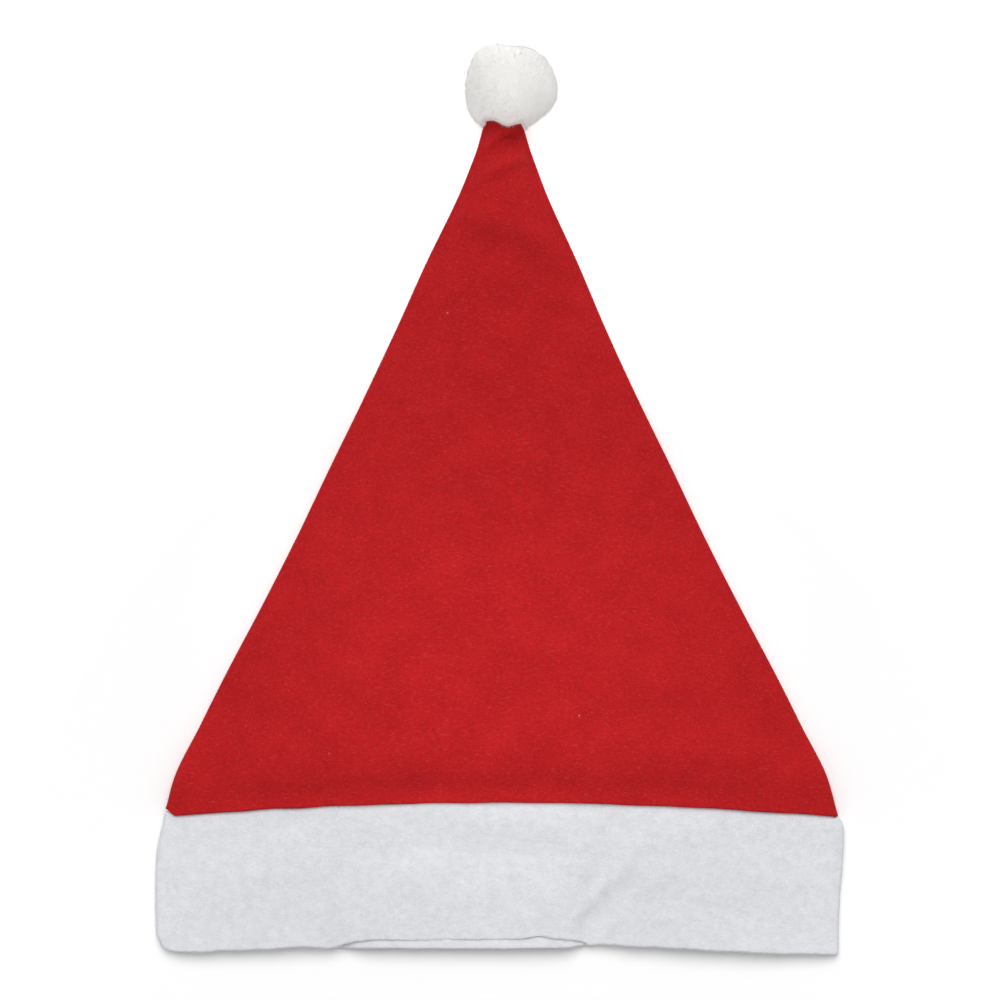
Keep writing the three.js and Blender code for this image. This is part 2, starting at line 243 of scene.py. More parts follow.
# Adds a node. Its inputs are numbers, colours or the sockets that feed them.
def addNode(tree, kind, settings=None, inputs=None):
    node = tree.nodes.new("ShaderNode" + kind)
    for name, value in (settings or {}).items():
        setattr(node, name, value)
    for name, value in (inputs or {}).items():
        if isinstance(value, bpy.types.NodeSocket):
            tree.links.new(value, node.inputs[name])
        else:
            node.inputs[name].default_value = value
    return node


def newMaterial(name):
    material = bpy.data.materials.new(name)
    material.use_nodes = True
    tree = material.node_tree
    tree.nodes.clear()
    shader = addNode(tree, "BsdfPrincipled")
    addNode(tree, "OutputMaterial", None, {"Surface": shader.outputs[0]})
    where = addNode(tree, "TexCoord").outputs["Object"]
    return material, tree, shader, where


# The camera looks straight down. A pixel of the photograph is 0.4373 mm at the hat.
view = {
    "pixel": 0.4373,
    "image": 1000,
    "height": 2200.0,
    "focusHeight": 5.0,     # where the pixel has that size, a little above the floor
    "middleX": 0.2,
    "middleY": -0.7,
    "sensor": 36.0,
    "clip": (0.05, 20.0),   # metres
}


def makeCamera():
    data = bpy.data.cameras.new("camera")
    data.sensor_width = view["sensor"]
    data.lens = view["sensor"] * (view["height"] - view["focusHeight"]) / (view["pixel"] * view["image"])
    data.clip_start, data.clip_end = view["clip"]
    camera = bpy.data.objects.new("camera", data)
    camera.location = (view["middleX"] / 1000, view["middleY"] / 1000, view["height"] / 1000)
    bpy.context.scene.collection.objects.link(camera)
    bpy.context.scene.camera = camera


# A wide bank of lamps high beyond the tip, with as much light again from all round. A faint pool of light lies on the
# lower half of the cone, and a small lamp fills the near side of the pompom. The white table glows round the hat, so
# that it stays evenly white and lights the pompom from below. Lengths in metres.
studio = {
    "around": 0.41,         # what the surroundings give a white surface
    "key": 2.16,            # watts a square metre
    "keyRise": 60.0,        # degrees above the floor
    "keyBreadth": 50.0,     # degrees across, seen from the hat
    "pool": 10.5,           # watts
    "poolMiddle": -0.072,   # along Y
    "poolHeight": 1.2,
    "poolReach": 0.11,
    "poolSoft": 0.05,
    "poolBlend": 0.8,       # the share of its reach over which it fades
    "fill": 14.0,           # watts
    "fillRight": 0.05,      # how far to the right it stands
    "fillRise": 30.0,       # degrees above the floor
    "fillAway": 1.0,
    "fillAim": 0.02,        # the height that it points at
    "fillReach": 0.04,
    "fillSoft": 0.02,
    "fillBlend": 1.0,
    "floor": "#FEFEFE",
    "glow": 0.95,           # the table's glow far from the mouth
    "glowFrom": 0.20,       # where it starts, away from glowMiddle
    "glowTo": 0.42,
    "glowMiddle": -0.16,    # along Y
    "floorSize": 6.0,
    "floorDrop": 0.00005,
}


def addLamp(kind, name, place, turned):
    light = bpy.data.lights.new(name, kind)
    light.energy = studio[name]
    lamp = bpy.data.objects.new(name, light)
    lamp.location = place
    lamp.rotation_euler = turned
    bpy.context.scene.collection.objects.link(lamp)
    return light


def addSpot(name, away, place, turned):
    light = addLamp("SPOT", name, place, turned)
    light.shadow_soft_size = studio[name + "Soft"]
    light.spot_size = 2 * math.atan(studio[name + "Reach"] / away)
    light.spot_blend = studio[name + "Blend"]


def makeStudio():
    scene = bpy.context.scene
    scene.view_settings.view_transform = "Standard"
    world = bpy.data.worlds.new("studio")
    world.use_nodes = True
    background = world.node_tree.nodes["Background"]
    background.inputs["Color"].default_value = (1, 1, 1, 1)
    background.inputs["Strength"].default_value = studio["around"]
    scene.world = world
    rise = math.radians(studio["keyRise"])
    key = addLamp("SUN", "key", (0, math.cos(rise), math.sin(rise)), (rise - math.pi / 2, 0, 0))
    key.angle = math.radians(studio["keyBreadth"])
    addSpot("pool", studio["poolHeight"], (0, studio["poolMiddle"], studio["poolHeight"]), (0, 0, 0))
    rise, away = math.radians(studio["fillRise"]), studio["fillAway"]
    level = math.cos(rise) * away
    ballY = (ballLow[1] + ballHigh[1]) / 2000
    place = (studio["fillRight"], ballY - level, math.sin(rise) * away + studio["fillAim"])
    addSpot("fill", away, place, (math.pi / 2 - rise, 0, math.atan(studio["fillRight"] / level)))


def makeFloor():
    material, tree, shader, where = newMaterial("white_matt_paper")
    shader.inputs["Base Color"].default_value = toLinear(studio["floor"])
    shader.inputs["Roughness"].default_value = 1.0
    shader.inputs["Specular IOR Level"].default_value = 0.0
    shader.inputs["Emission Color"].default_value = (1, 1, 1, 1)
    fromMiddle = addNode(tree, "VectorMath", {"operation": "SUBTRACT"}, {
        0: where, 1: (0, studio["glowMiddle"], 0)}).outputs[0]
    away = addNode(tree, "VectorMath", {"operation": "LENGTH"}, {0: fromMiddle}).outputs["Value"]
    glow = addNode(tree, "MapRange", None, {
        0: away, 1: studio["glowFrom"], 2: studio["glowTo"], 3: 0.0, 4: studio["glow"]}).outputs[0]
    tree.links.new(glow, shader.inputs["Emission Strength"])
    half = studio["floorSize"] / 2
    corners = np.array([[-half, -half, 0], [half, -half, 0], [half, half, 0], [-half, half, 0]])
    corners[:, 2] = -studio["floorDrop"]
    floor = meshFrom("floor", corners, np.array([[0, 1, 2, 3]]), np.zeros((0, 3), int), smooth=False)
    floor.data.materials.append(material)


makeCamera()
makeStudio()
makeFloor()
print("camera, light and floor are in place")

# Felt is a mat of fine fibres pressed together with barbed needles. It scatters light evenly, with faint clouds where
# the mat is thicker, streaks where single fibres lie on top, painted shade in the pits beside them and a soft grain.
# Sizes are in mm.
redFeltLook = {
    "thin": "#A9171B",
    "thick": "#B41B1E",
    "streak": "#CC4A4C",
    # the colour of the painted shade in the pits beside the fibres
    "pitShade": "#981015",
    "speck": "#E09A98",
    "cloudSize": 16.0,
    "grainSize": 1.25,
    "streakLength": 2.6,
    "streakBreadth": 0.6,
    "streakTurns": (4, 62, -38),
    "streakFrom": 0.60,
    "streakTo": 0.80,
    "streakShare": 0.34,
    "pitShadeTurns": (2, -14),
    "pitShadeShare": 0.26,
    "grainShare": 0.12,
    "speckSize": 26.0,
    "bumpHeight": 0.16,
    "bumpStrength": 0.5,
    "roughness": 0.95,
    "specular": 0.12,
    "sheen": 0.04,
    "sheenTint": "#D05050",
}
whiteFeltLook = {
    "thin": "#D8D9DD",
    "thick": "#E2E3E7",
    "streak": "#EEEFF0",
    # the colour of the painted shade in the pits beside the fibres
    "pitShade": "#C8CACE",
    "speck": "#C6C8CC",
    "cloudSize": 4.0,
    "grainSize": 0.9,
    "streakLength": 3.4,
    "streakBreadth": 0.6,
    "streakTurns": (84, 100, -50),
    "streakFrom": 0.56,
    "streakTo": 0.80,
    "streakShare": 0.38,
    "pitShadeTurns": (78, -12),
    "pitShadeShare": 0.28,
    "grainShare": 0.05,
    "speckSize": 22.0,
    "bumpHeight": 0.12,
    "bumpStrength": 0.25,
    "roughness": 0.95,
    "specular": 0.12,
    "sheen": 0.04,
    "sheenTint": "#FFFFFF",
}
# What the patterns of both share. The ranges are the noise values between which a pattern runs.
feltPattern = {
    "roughness": 0.6,
    "cloudDetail": 4.0,
    "cloudRange": (0.32, 0.68),
    "grainDetail": 2.0,
    "grainRange": (0.3, 0.7),
    "streakDetail": 1.5,
    "streakBump": 0.6,      # how far fibres stand out, as a share of the grain
    "speckFrom": 0.008,     # where a speck starts to fade and ends, as shares of its cell
    "speckTo": 0.02,
    "speckShare": 0.5,
}


def feltMaterial(name, look):
    material, tree, shader, where = newMaterial(name)
    place = addNode(tree, "VectorMath", {"operation": "SCALE"}, {"Vector": where, "Scale": 1000.0}).outputs[0]

    def noise(size, detail, vector=place):
        settings = {"noise_dimensions": "3D"}
        inputs = {"Vector": vector, "Scale": 1 / size, "Detail": detail, "Roughness": feltPattern["roughness"]}
        return addNode(tree, "TexNoise", settings, inputs).outputs[0]

    clouds = noise(look["cloudSize"], feltPattern["cloudDetail"])
    grain = noise(look["grainSize"], feltPattern["grainDetail"])
    low, high = feltPattern["cloudRange"]
    cloudShare = addNode(tree, "MapRange", None, {0: clouds, 1: low, 2: high, 3: 0.0, 4: 1.0}).outputs[0]
    colour = addNode(tree, "Mix", {"data_type": "RGBA"}, {
        0: cloudShare, 6: toLinear(look["thin"]), 7: toLinear(look["thick"])}).outputs[2]

    # The share of a noise that is stretched along some headings, for fibres and for the painted shade of the pits
    # beside them.
    def streaksAlong(turns):
        streaks = None
        for turn in turns:
            laid = addNode(tree, "Mapping", None, {
                "Vector": place, "Rotation": (0.0, 0.0, math.radians(turn)),
                "Scale": (1 / look["streakLength"], 1 / look["streakBreadth"], 1 / look["streakBreadth"])}).outputs[0]
            fibres = noise(1.0, feltPattern["streakDetail"], laid)
            picked = addNode(tree, "MapRange", {"interpolation_type": "SMOOTHSTEP"}, {
                0: fibres, 1: look["streakFrom"], 2: look["streakTo"], 3: 0.0, 4: 1.0}).outputs[0]
            streaks = picked if streaks is None else addNode(tree, "Math", {"operation": "MAXIMUM"}, {
                0: streaks, 1: picked}).outputs[0]
        return streaks

    # Painted shade: the pits beside the fibres are darkened in the base colour.
    pitShadeMask = addNode(tree, "Math", {"operation": "MULTIPLY"}, {
        0: streaksAlong(look["pitShadeTurns"]), 1: look["pitShadeShare"]}).outputs[0]
    colour = addNode(tree, "Mix", {"data_type": "RGBA"}, {0: pitShadeMask, 6: colour, 7: toLinear(look["pitShade"])}).outputs[2]
    streaks = streaksAlong(look["streakTurns"])
    shown = addNode(tree, "Math", {"operation": "MULTIPLY"}, {0: streaks, 1: look["streakShare"]}).outputs[0]
    colour = addNode(tree, "Mix", {"data_type": "RGBA"}, {0: shown, 6: colour, 7: toLinear(look["streak"])}).outputs[2]
    low, high = feltPattern["grainRange"]
    shade = addNode(tree, "MapRange", None, {
        0: grain, 1: low, 2: high, 3: 1 - look["grainShare"], 4: 1 + look["grainShare"]}).outputs[0]
    colour = addNode(tree, "VectorMath", {"operation": "SCALE"}, {"Vector": colour, "Scale": shade}).outputs[0]
    # A few specks of lint, each a small spot in one cell out of many.
    cells = addNode(tree, "TexVoronoi", {"feature": "F1"}, {
        "Vector": place, "Scale": 1 / look["speckSize"], "Randomness": 1.0}).outputs["Distance"]
    spot = addNode(tree, "MapRange", {"interpolation_type": "SMOOTHSTEP"}, {
        0: cells, 1: feltPattern["speckFrom"], 2: feltPattern["speckTo"],
        3: feltPattern["speckShare"], 4: 0.0}).outputs[0]
    colour = addNode(tree, "Mix", {"data_type": "RGBA"}, {0: spot, 6: colour, 7: toLinear(look["speck"])}).outputs[2]
    tree.links.new(colour, shader.inputs["Base Color"])
    height = addNode(tree, "Math", {"operation": "MULTIPLY_ADD"}, {
        0: streaks, 1: feltPattern["streakBump"], 2: grain}).outputs[0]
    bump = addNode(tree, "Bump", None, {
        "Height": height, "Distance": look["bumpHeight"] / 1000, "Strength": look["bumpStrength"]}).outputs[0]
    tree.links.new(bump, shader.inputs["Normal"])
    shader.inputs["Roughness"].default_value = look["roughness"]
    shader.inputs["Specular IOR Level"].default_value = look["specular"]
    shader.inputs["Sheen Weight"].default_value = look["sheen"]
    shader.inputs["Sheen Tint"].default_value = toLinear(look["sheenTint"])
    return material


# The loose fibres of a felt: the same polyester, lighter because light passes through single fibres.
fibreLook = {
    "patchSize": 2.5,       # mm
    "patchRange": (0.3, 0.7),
    "darkest": 0.88,
    "roughness": 0.8,
    "specular": 0.2,
}


def fibreMaterial(name, hexColour):
    material, tree, shader, where = newMaterial(name)
    place = addNode(tree, "VectorMath", {"operation": "SCALE"}, {"Vector": where, "Scale": 1000.0}).outputs[0]
    patch = addNode(tree, "TexNoise", None, {
        "Vector": place, "Scale": 1 / fibreLook["patchSize"], "Detail": 1.0}).outputs[0]
    low, high = fibreLook["patchRange"]
    share = addNode(tree, "MapRange", None, {
        0: patch, 1: low, 2: high, 3: fibreLook["darkest"], 4: 1.0}).outputs[0]
    colour = addNode(tree, "VectorMath", {"operation": "SCALE"}, {
        0: toLinear(hexColour)[:3], "Scale": share}).outputs[0]
    tree.links.new(colour, shader.inputs["Base Color"])
    shader.inputs["Roughness"].default_value = fibreLook["roughness"]
    shader.inputs["Specular IOR Level"].default_value = fibreLook["specular"]
    return material


redFelt = feltMaterial("red_needled_polyester_felt", redFeltLook)
whiteFelt = feltMaterial("white_needled_polyester_felt", whiteFeltLook)

# The red cone. Shares are of the frame's length and width, and ridges are in mm.
cone = {
    "tipHalf": 7.4,
    "puff": 18.2,           # how far the front panel arches up
    "tipLift": 8.0,
    "tipLean": 1.8,
    "leanFrom": 0.6,
    "seamRise": 1.1,
    "seamBow": 6.8,         # how far the seam drops from its middle to the sides
    "rightWide": 1.0,       # how much farther the cone reaches on the right
    "rightFade": (0.92, 0.6),    # the shares of its length between which that comes in
    "rightSpread": 1.0,     # and how much more at the seam
    "spreadReach": 9.0,
    "cornerRise": 3.4,      # the rounded corner where the left fold meets the seam
    "cornerReach": 5.0,
    "power": 1.05,
    "along": (0, .05, .13, .2, .3, .4, .5, .6, .7, .8, .9, .95, 1),
    "width": (1, .975, .89, .813, .697, .586, .482, .376, .276, .183, .083, .041, 0),
    "lift": (0, 0, 0, 0, 0, 0, 0, 0, .02, .14, .55, .8, 1),
    # The front is level over the seam allowance, climbs above it and then sinks slowly to the tip.
    "archAlong": (0, .016, .05, .08, .11, .14, .17, .3, .4, .5, .6, .7, .8, .9, .95, 1),
    "arch": (.57, .58, .75, .89, .97, 1, 1, .94, .87, .78, .68, .56, .44, .31, .24, .18),
    # x, y, reach, breadth, rise, degrees
    "folds": (
        (-4.0, 287.5, 9.0, 2.2, 2.4, 62),
        (1.5, 289.0, 10.0, 2.6, -3.8, 32),
        (-4.8, 284.4, 5.0, 2.1, -2.4, 10),
        (5.0, 280.5, 13.0, 3.2, 4.0, 28),
        (5.4, 251.4, 73.0, 6.5, 1.82, -12),
        (44.2, 216.4, 27.0, 5.0, 2.3, -16),
        (56.3, 193.3, 24.9, 4.7, 1.27, -16),
        (-64.4, 56.3, 35.1, 20.8, 0.91, 10),
        (66.0, 50.4, 35.1, 20.8, 0.91, -8),
        (-133.1, 13.9, 11.7, 5.9, -1.82, 40),
        (129.5, 16.3, 11.7, 5.9, -1.46, -40),
        (-121.4, 35.6, 10.2, 5.9, -1.27, 55),
    ),
    "lipRise": 0.25,        # the seam allowance lifts the edge a little
    "lipReach": 3.0,
    # length, height, seed
    "seamWave": (34.0, 0.1, 11),
    "swell": ((62.0, 0.32, 3), (24.0, 0.12, 4), (9.0, 0.035, 5)),
    "swellFrom": -4.0,      # where it starts above the seam
    "swellTo": 8.0,
    "edgeX": (-10.8, -7.4, -5.2, 1.5, 7.6, 10.2),
    "edgeY": (1.4, 1.6, 1.6, -1.1, 0.4, 0.2),
    "edgeFrom": 0.955,      # where the rows of the tip start to follow that edge
    "tipSink": 2.4,         # how far the end of the tip goes on into the yarn
    "insideFrom": 0.5,      # where the inside starts to fall short of the outside
    "insideEnd": 5.0,
    "pinch": 0.85,          # how far the front and the back come together at the end of the tip
    "closingRows": 3,
    "rowsInside": 34,
    "rowsOutside": 210,
    "rowCrowding": 1.15,    # more than one sets the rows closer at the seam
    "back": 36,
    "fold": 8,
    "front": 250,
    "crowding": 0.35,       # how much closer the steps of the front lie at its sides
}


def coneSection(along):
    half = cone["tipHalf"] + (coneHalf - cone["tipHalf"]) * curveThrough(along, cone["along"], cone["width"])
    fade = smoothStep(felt["thickFrom"] * felt["bandTuck"], felt["thickTo"] * felt["bandTuck"], along * coneLength)
    return {
        "left": half,
        "right": half + cone["rightWide"] * smoothStep(*cone["rightFade"], along)
        + cone["rightSpread"] * np.exp(-along * coneLength / cone["spreadReach"]),
        "edge": between(seamEdge, foldEdge, fade),
        "arch": cone["puff"] * curveThrough(along, cone["archAlong"], cone["arch"]),
        "lift": cone["tipLift"] * curveThrough(along, cone["along"], cone["lift"]),
        "middle": cone["tipLean"] * smoothStep(cone["leanFrom"], 1, along),
        "power": cone["power"],
    }


# Where the yarn ends over the tip, along Y from the tip's end.
def tipEdge(x):
    return curveThrough(x - cone["tipLean"], cone["edgeX"], cone["edgeY"])


# The seam's place along Y: it bows down towards its sides, rises round the corner of the left fold and wanders.
def seamLine(x, half):
    corner = smoothStep(half - cone["cornerReach"], half, -x)
    length, height, seed = cone["seamWave"]
    bow = cone["seamRise"] - cone["seamBow"] * np.minimum(np.abs(x) / half, 1) ** 2
    return cone["cornerRise"] * corner + height * waves(x, 0 * x, length, seed), bow


# The cone's surface at a share of its length, that deep below its outside. pinch brings the front and the back
# together where the tip ends.
def coneSurface(along, depth, around, pinch=0.0):
    section = coneSection(along)
    x, z = sectionPoint(section, depth, around)
    corner, bow = seamLine(x, section["left"])
    y = along * coneLength - depth * smoothStep(cone["insideFrom"], 1, along)
    y = y + bow * (1 - along) ** 2 + corner * np.exp(-along * coneLength / cone["cornerReach"])
    y = y + smoothStep(cone["edgeFrom"], 1, along) * (tipEdge(x) + cone["tipSink"])
    relief = ridges(x, y, cone["folds"])
    relief = relief + cone["lipRise"] * np.exp(-((along * coneLength / cone["lipReach"]) ** 2))
    risen = smoothStep(cone["swellFrom"], cone["swellTo"], along * coneLength)
    for length, height, seed in cone["swell"]:
        relief = relief + height * waves(x, y, length, seed) * risen
    z = z + relief * around["arched"] * (1 - around["across"] ** 4)
    middle = section["lift"] + (section["edge"] + section["arch"] * (1 - around["across"] ** 2)) / 2
    return x, y, between(z, middle, pinch)


# The rows of the cone's skin: inside from the tip to the mouth, round the half circle of the lip, and outside to the
# tip, where the pinch closes it.
def makeCone():
    wall = felt["coneWall"]
    lip, lipDepth = lipSteps(wall)
    lip = lip / coneLength
    crowded = np.linspace(0, 1, cone["rowsOutside"]) ** cone["rowCrowding"]
    outside = between(lip[-1], 1, crowded)[1:]
    inside = between(1 - cone["insideEnd"] / coneLength, lip[0], np.linspace(0, 1, cone["rowsInside"]))[:-1]
    closing = np.linspace(0, cone["pinch"], cone["closingRows"] + 1)[1:]
    along = np.concatenate([inside, lip, outside, np.ones(len(closing))])[:, None]
    depth = np.concatenate([inside * 0 + wall, lipDepth, outside * 0, closing * 0])[:, None]
    pinch = np.concatenate([inside * 0, lip * 0, outside * 0, closing])[:, None]
    pinch[0] = cone["pinch"]
    around = stepsAround(cone["back"], cone["fold"], cone["front"], cone["crowding"])
    rings = intoFrame(*coneSurface(along, depth, around, pinch))
    return finishPiece(ringMesh("redCone", rings, False), "felt_cone", redFelt)


redCone = makeCone()
print("red cone:", len(redCone.data.polygons), "faces")

# The white band, a strip of felt folded double along the mouth. Lengths in mm.
band = {
    "half": 150.2,
    "height": 63.0,
    # How far the mouth lies above its mean line.
    "mouthX": (-148.5, -145, -139, -129, -120, -102, -85, -70, 30, 46, 64, 81, 99, 116, 134, 150),
    "mouthY": (0.2, -1.2, -2.1, -2.2, -1.3, -0.9, 0.2, -0.2, 0, 1.1, 0.1, -0.6, -1.7, -2.5, -2.9, -3.4),
    "cornerUp": 1.6,        # how far the raw corner stands up past the end of the seam on the right
    "cornerRun": (5.0, 1.0),    # and where it starts and ends, from the side
    # How far the mouth stands open: it is pressed nearly shut in its middle and gapes a little on both sides.
    "gapeX": (-150, -95, -60, 35, 70, 110, 150),
    "gape": (4.2, 3.6, 0.04, 0.04, 3.0, 3.8, 4.2),
    "mouthLift": 7.2,       # how far the pressed part stands off the table
    "liftFrom": 0.3,        # the share of the height where that starts
    "mouthThin": 0.93,      # how much the fold is pressed together there
    "thinFrom": 0.4,
    "fallEase": 0.6,        # how evenly the arch falls from the seam to the mouth: one is a straight fall
    "power": 0.6,
    "powerTo": 0.5,         # the share of the height where the arch has that power
    "shoulderRun": 1.4,     # where the band steps out to its full width below the seam
    "settleRun": (-3.0, 26.0),    # where it comes down to the table below the seam
    "down": (0, .1, .2, .35, .6, .9, 1),
    "left": (.974, .98, .991, 1, 1.003, 1, .985),
    "right": (.983, 1.002, 1.003, 1, .992, .988, .988),
    # The front edge of the mouth is shorter in its middle and shows the inside of the back.
    "stepUp": 4.1,
    "stepX": (-150, -74, -68, -61, -55, 9, 13, 17, 21, 35, 40, 150),
    "step": (0, 0, .35, .7, .88, 1, 1.14, 1.3, 1.16, .6, 0, 0),
    "mouthWave": 0.13,
    "backWave": (30.0, 31),     # length and seed
    "frontWave": (22.0, 32),
    "mouthNibble": 0.1,
    "nibbleWave": (4.5, 33),
    "nibbleApart": 50.0,        # how far apart the front and the back lie in that pattern
    "folds": (
        (44.8, -36.5, 19.0, 3.6, 1.0, 47),
        (51.0, -42.0, 17.0, 3.6, -0.5, 47),
        (-28.0, -23.5, 12.0, 3.6, 0.22, 31),
        (-21.5, -12.6, 3.0, 3.0, -0.25, 0),
    ),
    "swell": ((48.0, 0.28, 21), (17.0, 0.09, 22), (6.0, 0.03, 23)),
    "swellTo": 10.0,
    "rowsOutside": 100,
    "rowsInside": 30,
    "rowsShoulder": 6,
    "rowsGap": 12,
    "back": 40,
    "fold": 8,
    "front": 250,
    "crowding": 0.35,
}


# The band's surface at a distance below the seam, above it in the tuck, that deep below its outside. Its section goes
# from that of the tuck to the band's own, whose arch falls to the gape of the mouth.
def bandSurface(run, depth, around):
    tucked = coneSection(np.maximum(-run, 0) / coneLength)
    down = np.clip(run / band["height"], 0, 1)
    out = smoothStep(0, band["shoulderRun"], run)
    left, right = (band["half"] * curveThrough(down, band["down"], band[side]) for side in ("left", "right"))
    acrossInMm = around["across"] * band["half"]
    pressed = np.minimum(curveThrough(acrossInMm, band["stepX"], band["step"]), 1)
    thin = 1 - band["mouthThin"] * smoothStep(band["thinFrom"], 1, down) * pressed
    lift = band["mouthLift"] * smoothStep(band["liftFrom"], 1, down) * pressed
    gape = curveThrough(acrossInMm, band["gapeX"], band["gape"])
    section = {
        "left": between(tucked["left"] - seamDepth, left, out),
        "right": between(tucked["right"] - seamDepth, right, out),
        "edge": (tucked["edge"] - 2 * seamDepth) * thin,
        "arch": between(tucked["arch"], gape, between(down, smoothStep(0, 1, down), band["fallEase"])),
        "lift": between(tucked["lift"] + seamDepth, lift, smoothStep(*band["settleRun"], run)),
        "middle": 0.0,
        "power": between(cone["power"], band["power"], smoothStep(0, band["powerTo"], down)),
    }
    x, z = sectionPoint(section, depth * thin, around)
    corner, bow = seamLine(x, coneHalf)
    above = -run + bow * (1 + run / coneLength) ** 2 + corner * np.exp(np.minimum(run, 0) / cone["cornerReach"])
    backWave, frontWave = (waves(x, 0 * x, *band[side]) for side in ("backWave", "frontWave"))
    ragged = band["mouthWave"] * between(backWave, frontWave, around["front"])
    nibbled = waves(x, band["nibbleApart"] * around["front"], *band["nibbleWave"])
    start, end = band["cornerRun"]
    rightCorner = band["cornerUp"] * smoothStep(band["half"] - start, band["half"] - end, x)
    step = band["stepUp"] * around["front"] * curveThrough(x, band["stepX"], band["step"])
    mouth = curveThrough(x, band["mouthX"], band["mouthY"]) - band["height"] + step
    mouth = mouth + ragged + band["mouthNibble"] * nibbled
    y = np.where(run < 0, above, between(corner + bow + rightCorner - felt["seamGap"], mouth, down))
    relief = ridges(x, y, band["folds"])
    for length, height, seed in band["swell"]:
        relief = relief + height * waves(x, y, length, seed) * smoothStep(0, band["swellTo"], run)
    return x, y, z + relief * around["arched"] * (1 - around["across"] ** 4)


# The rows of the folded strip: down its inside, round the fold at the mouth, up its outside, over the edge of the
# outer layer, down and up the thin gap between the layers, and over the edge of the inner layer.
def makeBand():
    wall, layer, height = felt["bandWall"], felt["bandLayer"], band["height"]
    top = -felt["bandTuck"]
    lip, lipDepth = lipSteps(wall)
    lip = height - lip
    inside = between(top, lip[0], np.linspace(0, 1, band["rowsInside"]))[:-1]
    outside = between(lip[-1], top, np.linspace(0, 1, band["rowsOutside"]))[1:]
    nearSeam = band["shoulderRun"] * np.linspace(0, 1, band["rowsShoulder"])
    outside = np.sort(np.concatenate([outside, nearSeam]))[::-1]
    gap = between(top, height - wall, np.linspace(0, 1, band["rowsGap"]))
    run = np.concatenate([inside, lip, outside, gap, gap[::-1]])[:, None]
    depth = np.concatenate([
        inside * 0 + wall, lipDepth, outside * 0, gap * 0 + layer, gap * 0 + wall - layer,
    ])[:, None]
    around = stepsAround(band["back"], band["fold"], band["front"], band["crowding"])
    rings = intoFrame(*bandSurface(run, depth, around))
    return finishPiece(ringMesh("whiteBand", rings, True), "felt_band", whiteFelt)


whiteBand = makeBand()
print("white band:", len(whiteBand.data.polygons), "faces")

# The pompom: yarn ends tied at their middle and cut to a ball, in soft tufts. Lengths in mm.
pompom = {
    "wide": 40.6,
    "long": 37.6,
    "tall": 36.0,
    "flat": 2.2,            # how much is pressed flat where it lies
    "shift": 3.2,           # how far it lies to the right of the tip
    # turn and rise in degrees, swell as a share of the width, spread in degrees
    "lumps": (
        (125, 10, .062, 26),
        (90, 5, -.065, 13),
        (-22, 5, .03, 24),
        (-72, -5, .03, 16),
        (228, -5, .085, 28),
    ),
    "coreDepth": 1.1,
    "coreRows": 64,
    "coreColumns": 128,
    "coreLowest": 0.3,      # above the table
    "rootDepth": 1.6,
    "tuftSize": 3.4,        # how far apart tufts stand
    "tuftSpread": (0.7, 1.5),
    "tuftWaves": 24,
    "tuftRise": 0.19,       # how far they swell out
    "rimRise": 0.2,         # and how much more round the ball's middle
    "strands": 18500,
    "scatter": 0.012,       # how unevenly they are spread, as a share of half the ball
    "thickness": 0.12,
    "thicknessSpread": (0.75, 1.2),
    "lean": 0.7,
    "kneeAt": 0.55,
    "kneeLean": 0.4,
    "uneven": 0.22,
    "longest": 1.6,         # how far the few longest strands stand out
    "longFew": 7,           # and how few they are
    "lowest": 0.25,
    "seed": 7,
    "notchWide": 7.6,       # half the width of the slot that the tip of the cone lies in
    "notchSpread": 0.38,    # how much wider it gets along the cone
    "notchEase": (0.3, 0.9),    # where its edge starts and ends, inside and outside of it
    "notchFloor": 7.6,
    "underTip": 7.0,        # strands below this height go on under the tip
}
# Strands that lean over the edge of the slot. Half its end is one, and more than one goes on down its sides.
slotEdge = {
    "strands": 900,
    "reach": 1.4,
    "beside": 0.7,          # how far they stand beside its sides
    "besideGrow": 3,
    "splay": 0.35,
    "endHeights": (13.5, 15.0),     # the lowest, and the least that the highest is
    "sideHeights": (7.5, 12.5),
    "inset": 1.0,           # how far the highest lie under the outside of the ball
    "lean": (-0.8, 1.1),
    "sideLean": 0.3,        # how much less they lean at the sides
    "root": 2.2,
    "knee": 0.6,
}
yarnLook = {
    "dark": "#EAE9E7",
    "bright": "#ECEBE9",
    "patchSize": 4.0,
    "patchRange": (0.3, 0.7),
    "plySize": 0.7,
    "bumpHeight": 0.3,
    "bumpStrength": 0.5,
    "roughness": 0.9,
    "specular": 0.1,
}


# Acrylic yarn: bright and matte, with cut ends that are a little uneven in colour.
def whiteYarnMaterial():
    material, tree, shader, where = newMaterial("white_acrylic_yarn")
    place = addNode(tree, "VectorMath", {"operation": "SCALE"}, {"Vector": where, "Scale": 1000.0}).outputs[0]
    patch = addNode(tree, "TexNoise", None, {
        "Vector": place, "Scale": 1 / yarnLook["patchSize"], "Detail": 3.0}).outputs[0]
    low, high = yarnLook["patchRange"]
    share = addNode(tree, "MapRange", None, {0: patch, 1: low, 2: high, 3: 0.0, 4: 1.0}).outputs[0]
    colour = addNode(tree, "Mix", {"data_type": "RGBA"}, {
        0: share, 6: toLinear(yarnLook["dark"]), 7: toLinear(yarnLook["bright"])}).outputs[2]
    tree.links.new(colour, shader.inputs["Base Color"])
    plies = addNode(tree, "TexNoise", None, {
        "Vector": place, "Scale": 1 / yarnLook["plySize"], "Detail": 2.0}).outputs[0]
    bump = addNode(tree, "Bump", None, {
        "Height": plies, "Distance": yarnLook["bumpHeight"] / 1000, "Strength": yarnLook["bumpStrength"]}).outputs[0]
    tree.links.new(bump, shader.inputs["Normal"])
    shader.inputs["Roughness"].default_value = yarnLook["roughness"]
    shader.inputs["Specular IOR Level"].default_value = yarnLook["specular"]
    return material


